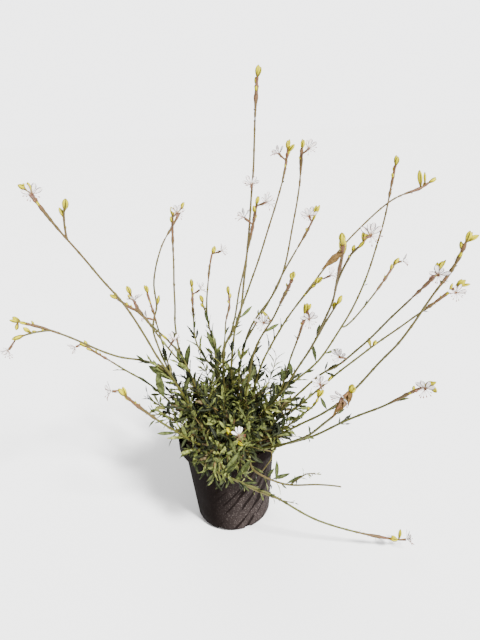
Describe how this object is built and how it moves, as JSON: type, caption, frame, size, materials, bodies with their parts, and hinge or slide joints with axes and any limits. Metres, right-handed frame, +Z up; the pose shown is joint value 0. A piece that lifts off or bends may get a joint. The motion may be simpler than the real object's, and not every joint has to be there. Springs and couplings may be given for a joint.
{
  "type": "potted gaura",
  "caption": "Gaura in a round black nursery pot: a low mound of narrow leaves with long thin flower stems arching out, tipped with buds and small white butterfly-like blooms",
  "frame": {"origin": "centre of the pot's flat underside", "axes": "+Z up, the plant's front (the side the picture shows) faces -Y, +X to the picture's right"},
  "size_m": [0.6482, 0.4309, 0.695],
  "materials": {
    "black_plastic": "matte, dusty",
    "potting_soil": "rough, damp",
    "stems_and_leaves": "matt green with olive-brown stems",
    "shoot_leaves": "matt green",
    "petals": "soft, slightly translucent"
  },
  "bodies": {
    "root": {"bloom_01": "petals", "bloom_02": "petals", "bloom_03": "petals", "bloom_04": "petals", "bloom_05": "petals", "bloom_06": "petals", "bloom_07": "petals", "bloom_08": "petals", "bloom_09": "petals", "bloom_10": "petals", "bloom_11": "petals", "bloom_12": "petals", "bloom_13": "petals", "bloom_14": "petals", "bloom_15": "petals", "bloom_16": "petals", "bloom_17": "petals", "bloom_18": "petals", "bloom_19": "petals", "bloom_20": "petals", "bloom_21": "petals", "bloom_22": "petals", "bloom_23": "petals", "bloom_24": "petals", "bloom_25": "petals", "bloom_26": "petals", "bloom_27": "petals", "bloom_28": "petals", "bloom_29": "petals", "flower_stem_01": "stems_and_leaves", "flower_stem_02": "stems_and_leaves", "flower_stem_03": "stems_and_leaves", "flower_stem_04": "stems_and_leaves", "flower_stem_05": "stems_and_leaves", "flower_stem_06": "stems_and_leaves", "flower_stem_07": "stems_and_leaves", "flower_stem_08": "stems_and_leaves", "flower_stem_09": "stems_and_leaves", "flower_stem_10": "stems_and_leaves", "flower_stem_11": "stems_and_leaves", "flower_stem_12": "stems_and_leaves", "flower_stem_13": "stems_and_leaves", "flower_stem_14": "stems_and_leaves", "flower_stem_15": "stems_and_leaves", "flower_stem_16": "stems_and_leaves", "flower_stem_17": "stems_and_leaves", "flower_stem_18": "stems_and_leaves", "flower_stem_19": "stems_and_leaves", "flower_stem_20": "stems_and_leaves", "flower_stem_21": "stems_and_leaves", "leafy_shoot_1": "shoot_leaves", "leafy_shoot_2": "shoot_leaves", "leafy_shoot_3": "shoot_leaves", "leafy_shoot_4": "shoot_leaves", "leafy_shoot_5": "shoot_leaves", "leafy_shoot_6": "shoot_leaves", "leafy_shoot_7": "shoot_leaves", "leafy_shoot_8": "shoot_leaves", "pot": "black_plastic", "soil": "potting_soil"}
  },
  "joints": []
}
